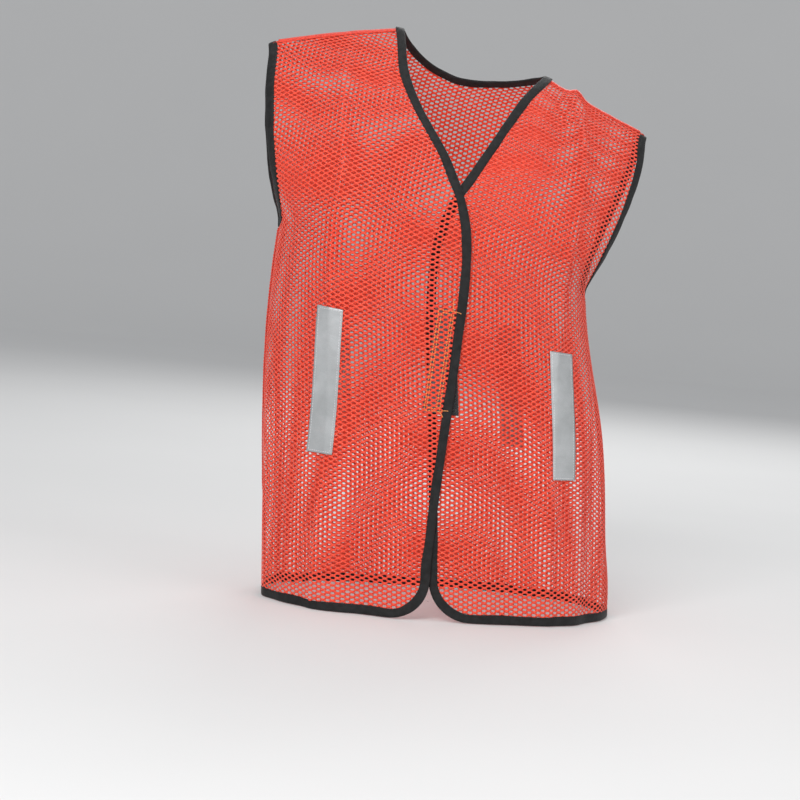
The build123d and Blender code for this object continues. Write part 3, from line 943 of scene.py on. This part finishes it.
def binding_material():
    """Black polyester tape with a fine crosswise rib, greyer where it is rubbed."""
    nodes = Nodes("edge_binding", 0.6, sheen=0.06)
    rub = nodes.noise((160, 160, 160), 4.0)
    worn = nodes.ramp(rub, [(0.35, (0.004, 0.004, 0.004)), (0.75, (0.017, 0.017, 0.018))])
    threads = nodes.noise((1500, 1500, 1500), 2.0)
    weave = nodes.ramp(threads, [(0.3, (0.6, 0.6, 0.6)), (0.7, (1, 1, 1))])
    nodes.colour(nodes.multiplied(worn, weave))
    nodes.rough(nodes.noise((300, 300, 300)), 0.5, 0.8)
    nodes.shader.inputs["Specular IOR Level"].default_value = 0.3
    nodes.bumps((nodes.ribs("Z", 330.0, 1.5), 0.00015), (nodes.noise((1800, 1800, 1800)), 0.00012))
    return nodes.material


def seam_material():
    """Orange woven tape over the seams."""
    nodes = Nodes("seam_tape", 0.6, sheen=0.15)
    tone = nodes.noise((500, 500, 900), 3.0)
    nodes.colour(nodes.ramp(tone, [(0.3, (0.55, 0.014, 0.006)), (0.7, (0.88, 0.065, 0.025))]))
    nodes.rough(tone, 0.5, 0.7)
    nodes.bumps((nodes.ribs("Z", 380.0, 1.0), 0.0002), (nodes.noise((1600, 1600, 1600)), 0.00012))
    return nodes.material


def strip_material():
    """Silver-grey reflective tape: glass beads in a thin film, with faint creases."""
    nodes = Nodes("reflective_tape", 0.4, metallic=0.35)
    beads = nodes.noise((5200, 5200, 5200), 1.0)
    cloud = nodes.noise((45, 45, 45), 4.0)
    base = nodes.ramp(cloud, [(0.3, (0.40, 0.415, 0.42)), (0.7, (0.52, 0.535, 0.545))])
    grain = nodes.ramp(beads, [(0.35, (0.82, 0.82, 0.82)), (0.65, (1, 1, 1))])
    nodes.colour(nodes.multiplied(base, grain))
    nodes.rough(cloud, 0.34, 0.5)
    nodes.bumps((nodes.noise((60, 60, 140), 3.0), 0.0006), (beads, 0.00004))
    return nodes.material


def thread_material(name, low, high):
    """Twisted sewing thread."""
    nodes = Nodes(name, 0.5, sheen=0.2)
    twist = nodes.noise((1400, 1400, 1400), 2.0)
    nodes.colour(nodes.ramp(twist, [(0.3, low), (0.7, high)]))
    nodes.rough(twist, 0.4, 0.6)
    nodes.bumps((nodes.ribs("DIAGONAL", 900.0, 0.5), 0.0001))
    return nodes.material


def pile_material(name, low, high, roughness):
    """Nylon closure tape, both its ground and its pile."""
    nodes = Nodes(name, roughness, sheen=0.3)
    tone = nodes.noise((900, 900, 900), 3.0)
    nodes.colour(nodes.ramp(tone, [(0.3, low), (0.7, high)]))
    nodes.rough(tone, roughness - 0.1, roughness + 0.1)
    nodes.bumps((nodes.noise((1300, 1300, 1300), 4.0), 0.0004))
    return nodes.material


materials = {
    "mesh_cloth": mesh_material(),
    "edge_binding": binding_material(),
    "seam_tape": seam_material(),
    "reflective_tape": strip_material(),
    "strip_thread": thread_material("strip_thread", (0.52, 0.53, 0.55), (0.80, 0.81, 0.82)),
    "tape_thread": thread_material("tape_thread", (0.93, 0.21, 0.03), (1.0, 0.50, 0.12)),
    "hook_tape": pile_material("hook_tape", (0.035, 0.035, 0.038), (0.085, 0.085, 0.09), 0.5),
    "loop_tape": pile_material("loop_tape", (0.004, 0.004, 0.005), (0.018, 0.018, 0.019), 0.85),
}


# Building the pieces

hinges = {joint["name"]: joint for joint in frame["record"]["behaviour"]["joints"]}


def follow(piece, body, slot, *nodes):
    """Attaches a back piece to the back's body, bakes a front piece's placement into its points, and
    hides the CAD nodes that it replaces.
    """
    if body == "back":
        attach(piece, "back")
    else:
        side = body.split("_")[0]
        hinge = hinges[f"{side}_front_open"]
        along_fold = Vector(hinge["axis"])
        across = along_fold.cross(Vector((0, 1, 0))).normalized()
        if across.x * SIDES[side][0] > 0:
            across = -across  # so that it points at the edge of the front
        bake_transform(piece)
    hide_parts(*nodes)


front_table = flat_table(behind=False)
back_table = flat_table(behind=True)

cloth, flat, area = mesh_cloth("back", back_table, materials["mesh_cloth"])
follow(cloth, "back", "mesh_cloth", "back_panel")
for side in SIDES:
    cloth, flat, area = mesh_cloth(side, front_table, materials["mesh_cloth"])
    follow(cloth, f"{side}_front", "mesh_cloth", f"{side}_side_front", f"{side}_front_flap")

black = materials["edge_binding"]
back_hem_turn = np.linspace(90, 270, 200)
piece = binding("back_hem_edging", "back", back_hem_turn, 0 * back_hem_turn, black)
follow(piece, "back", "edge_binding", "back_hem_binding")
neck_x = np.linspace(-NECK_HALF, NECK_HALF, 80)
neck_z = ridge(neck_x) - BACK_NECK_DROP * (1 - (neck_x / NECK_HALF) ** 2)
piece = binding("back_neck_edging", "back", 180 - angle(neck_x, neck_z), neck_z, black)
follow(piece, "back", "edge_binding", "back_neck_binding")

orange = materials["seam_tape"]
for side, (sign, _) in SIDES.items():
    piece = binding(f"{side}_front_edging", side, *front_path(side), black)
    follow(piece, f"{side}_front", "edge_binding", f"{side}_hem_binding", f"{side}_edge_binding",
           f"{side}_neck_binding")
    piece = binding(f"{side}_armhole_edging", "back", *armhole_path(sign), black, ARMHOLE_SMOOTHING)
    follow(piece, "back", "edge_binding", f"{side}_armhole_binding")

    piece = tape(f"{side}_side_seam_tape", "back", side_seam_grid(sign), *SIDE_SEAM_TAPE, orange,
                 ripple=0.12, sewn=(1, 5))
    follow(piece, "back", "seam_tape", f"{side}_side_seam")
    piece = tape(f"{side}_shoulder_seam_tape", "back", shoulder_seam_grid(sign), *SHOULDER_SEAM_TAPE,
                 orange, ripple=0.12, sewn=(1, 5))
    follow(piece, "back", "seam_tape", f"{side}_shoulder_seam")

    foot_x, top_x, foot_z = FRONT_STRIPS[side]
    for name, middle, z, behind in (
        ("front_strip", (foot_x, top_x), foot_z, False),
        ("back_strip", (sign * BACK_STRIP_X, sign * BACK_STRIP_X), BACK_STRIP_Z, True),
    ):
        size = (middle, STRIP_WIDTH, z, z + STRIP_LENGTH)
        face = "back" if behind else side
        piece = tape(f"{side}_{name}_tape", face, tape_grid(*size, STRIP_STEP, behind), *STRIP_TAPE,
                     materials["reflective_tape"], ripple=0.16)
        follow(piece, "back", "reflective_tape", f"{side}_{name}")
        piece = box_stitching(f"{side}_{name}_thread", face, size, STRIP_THREAD_OUT,
                              materials["strip_thread"], behind=behind)
        follow(piece, "back", "strip_thread", f"{side}_{name}_stitching")

tape_ends = (TAPE_Z, TAPE_Z + TAPE_LENGTH)
tape_out, tape_thickness = CLOSURE_TAPE
hook_ends = [(1, [(9.0, 60), (6.0, 130)]), (2, [(12.0, -20), (7.0, 75)])]
for side, name, width, pile, facing, loose in (
    ("right", "hook_tape", HOOK_WIDTH, HOOK_PILE, -1, hook_ends),
    ("left", "loop_tape", LOOP_WIDTH, LOOP_PILE, 1, ()),
):
    sign, outline = SIDES[side]
    middle = [float(along(outline, z)) + sign * (BINDING_WIDTH + 1 + width / 2) for z in tape_ends]
    size = (middle, width, *tape_ends)
    piece = tape(f"{name}_pile", side, tape_grid(*size, CLOSURE_STEP), tape_out * facing, tape_thickness,
                 materials[name], ripple=0.08, pile=pile)
    follow(piece, f"{side}_front", name, name)
    piece = box_stitching(f"{name}_thread", side, size, -TAPE_THREAD_OUT * facing,
                          materials["tape_thread"], TAPE_STITCH, lines=2, ends=loose)
    follow(piece, f"{side}_front", "tape_thread", f"{name}_stitching")


# Floor, light and camera

lowest, highest = (Vector(corner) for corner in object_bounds())


def studio_material():
    """Pale paper that glows faintly, so that the floor and the backdrop look alike."""
    nodes = Nodes("studio_paper", 0.85)
    base = (0.60, 0.60, 0.595)
    tone = nodes.noise((3, 3, 3), 2.0)
    nodes.colour(nodes.ramp(tone, [(0.3, tuple(c * 0.98 for c in base)), (0.7, base)]))
    nodes.shader.inputs["Emission Color"].default_value = (0.97, 0.98, 1.0, 1)
    nodes.shader.inputs["Emission Strength"].default_value = 0.14
    return nodes.material


def turned_sheet(name, profile, foot_z, material):
    """A stage piece of revolution about the vest, from (radius, height) pairs, in metres."""
    around = np.radians(np.arange(SPOKES) * 360 / SPOKES)
    rings = []
    for radius, height in profile:
        level = np.full(SPOKES, height + foot_z)
        rings.append(np.stack([radius * np.cos(around), radius * np.sin(around), level], axis=1))
    ring = np.arange(SPOKES)
    following = (ring + 1) % SPOKES
    faces = [np.stack([ring, following, following + SPOKES, ring + SPOKES], 1) + k * SPOKES
             for k in range(len(profile) - 1)]
    return new_mesh(name, np.concatenate(rings) * 1000, faces, material)


floor_z = lowest.z - 0.0005
bend = np.linspace(0, math.pi / 2, 16)
wall = [(FLOOR_RADIUS + BEND_RADIUS * math.sin(a), BEND_RADIUS * (1 - math.cos(a))) for a in bend]
wall.append((FLOOR_RADIUS + BEND_RADIUS, WALL_HEIGHT))
studio = studio_material()
floor = turned_sheet("studio_floor", [(0.001, 0), (0.5, 0), (1.5, 0), (FLOOR_RADIUS, 0)], floor_z, studio)
backdrop = turned_sheet("studio_backdrop", wall, floor_z, studio)
backdrop.visible_diffuse = False  # so that the soft light of the sky comes through it
backdrop.visible_shadow = False
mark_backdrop(floor, backdrop)

bpy.context.scene.view_settings.view_transform = "Standard"
world = bpy.context.scene.world or bpy.data.worlds.new("studio")
bpy.context.scene.world = world
world.use_nodes = True
sky = world.node_tree.nodes["Background"]
sky.inputs["Color"].default_value = (0.95, 0.97, 1.0, 1)
sky.inputs["Strength"].default_value = 0.34

centre = (lowest + highest) / 2
for name, offset, size, watts in LAMPS:
    light = bpy.data.lights.new(name, "AREA")
    light.energy = watts
    light.size = size
    lamp = bpy.data.objects.new(name, light)
    lamp.location = centre + Vector(offset)
    lamp.visible_camera = False
    lamp.rotation_euler = (-Vector(offset)).to_track_quat("-Z", "Y").to_euler()
    bpy.context.scene.collection.objects.link(lamp)

azimuth, elevation, roll = (math.radians(a) for a in (CAMERA_AZIMUTH, CAMERA_ELEVATION, CAMERA_ROLL))
right = Vector((math.cos(azimuth), math.sin(azimuth), 0))
forward = Vector((-math.sin(azimuth) * math.cos(elevation), math.cos(azimuth) * math.cos(elevation),
                  -math.sin(elevation)))
up = right.cross(forward)
camera_x = right * math.cos(roll) + up * math.sin(roll)
camera_y = up * math.cos(roll) - right * math.sin(roll)
turned = Matrix((camera_x, camera_y, -forward)).transposed().to_4x4()
camera_data = bpy.data.cameras.new("camera")
camera_data.lens = CAMERA_LENS
camera_data.sensor_width = 36
camera = bpy.data.objects.new("camera", camera_data)
camera.matrix_world = Matrix.Translation(Vector(CAMERA_AIM) - forward * CAMERA_DISTANCE) @ turned
bpy.context.scene.collection.objects.link(camera)
bpy.context.scene.camera = camera
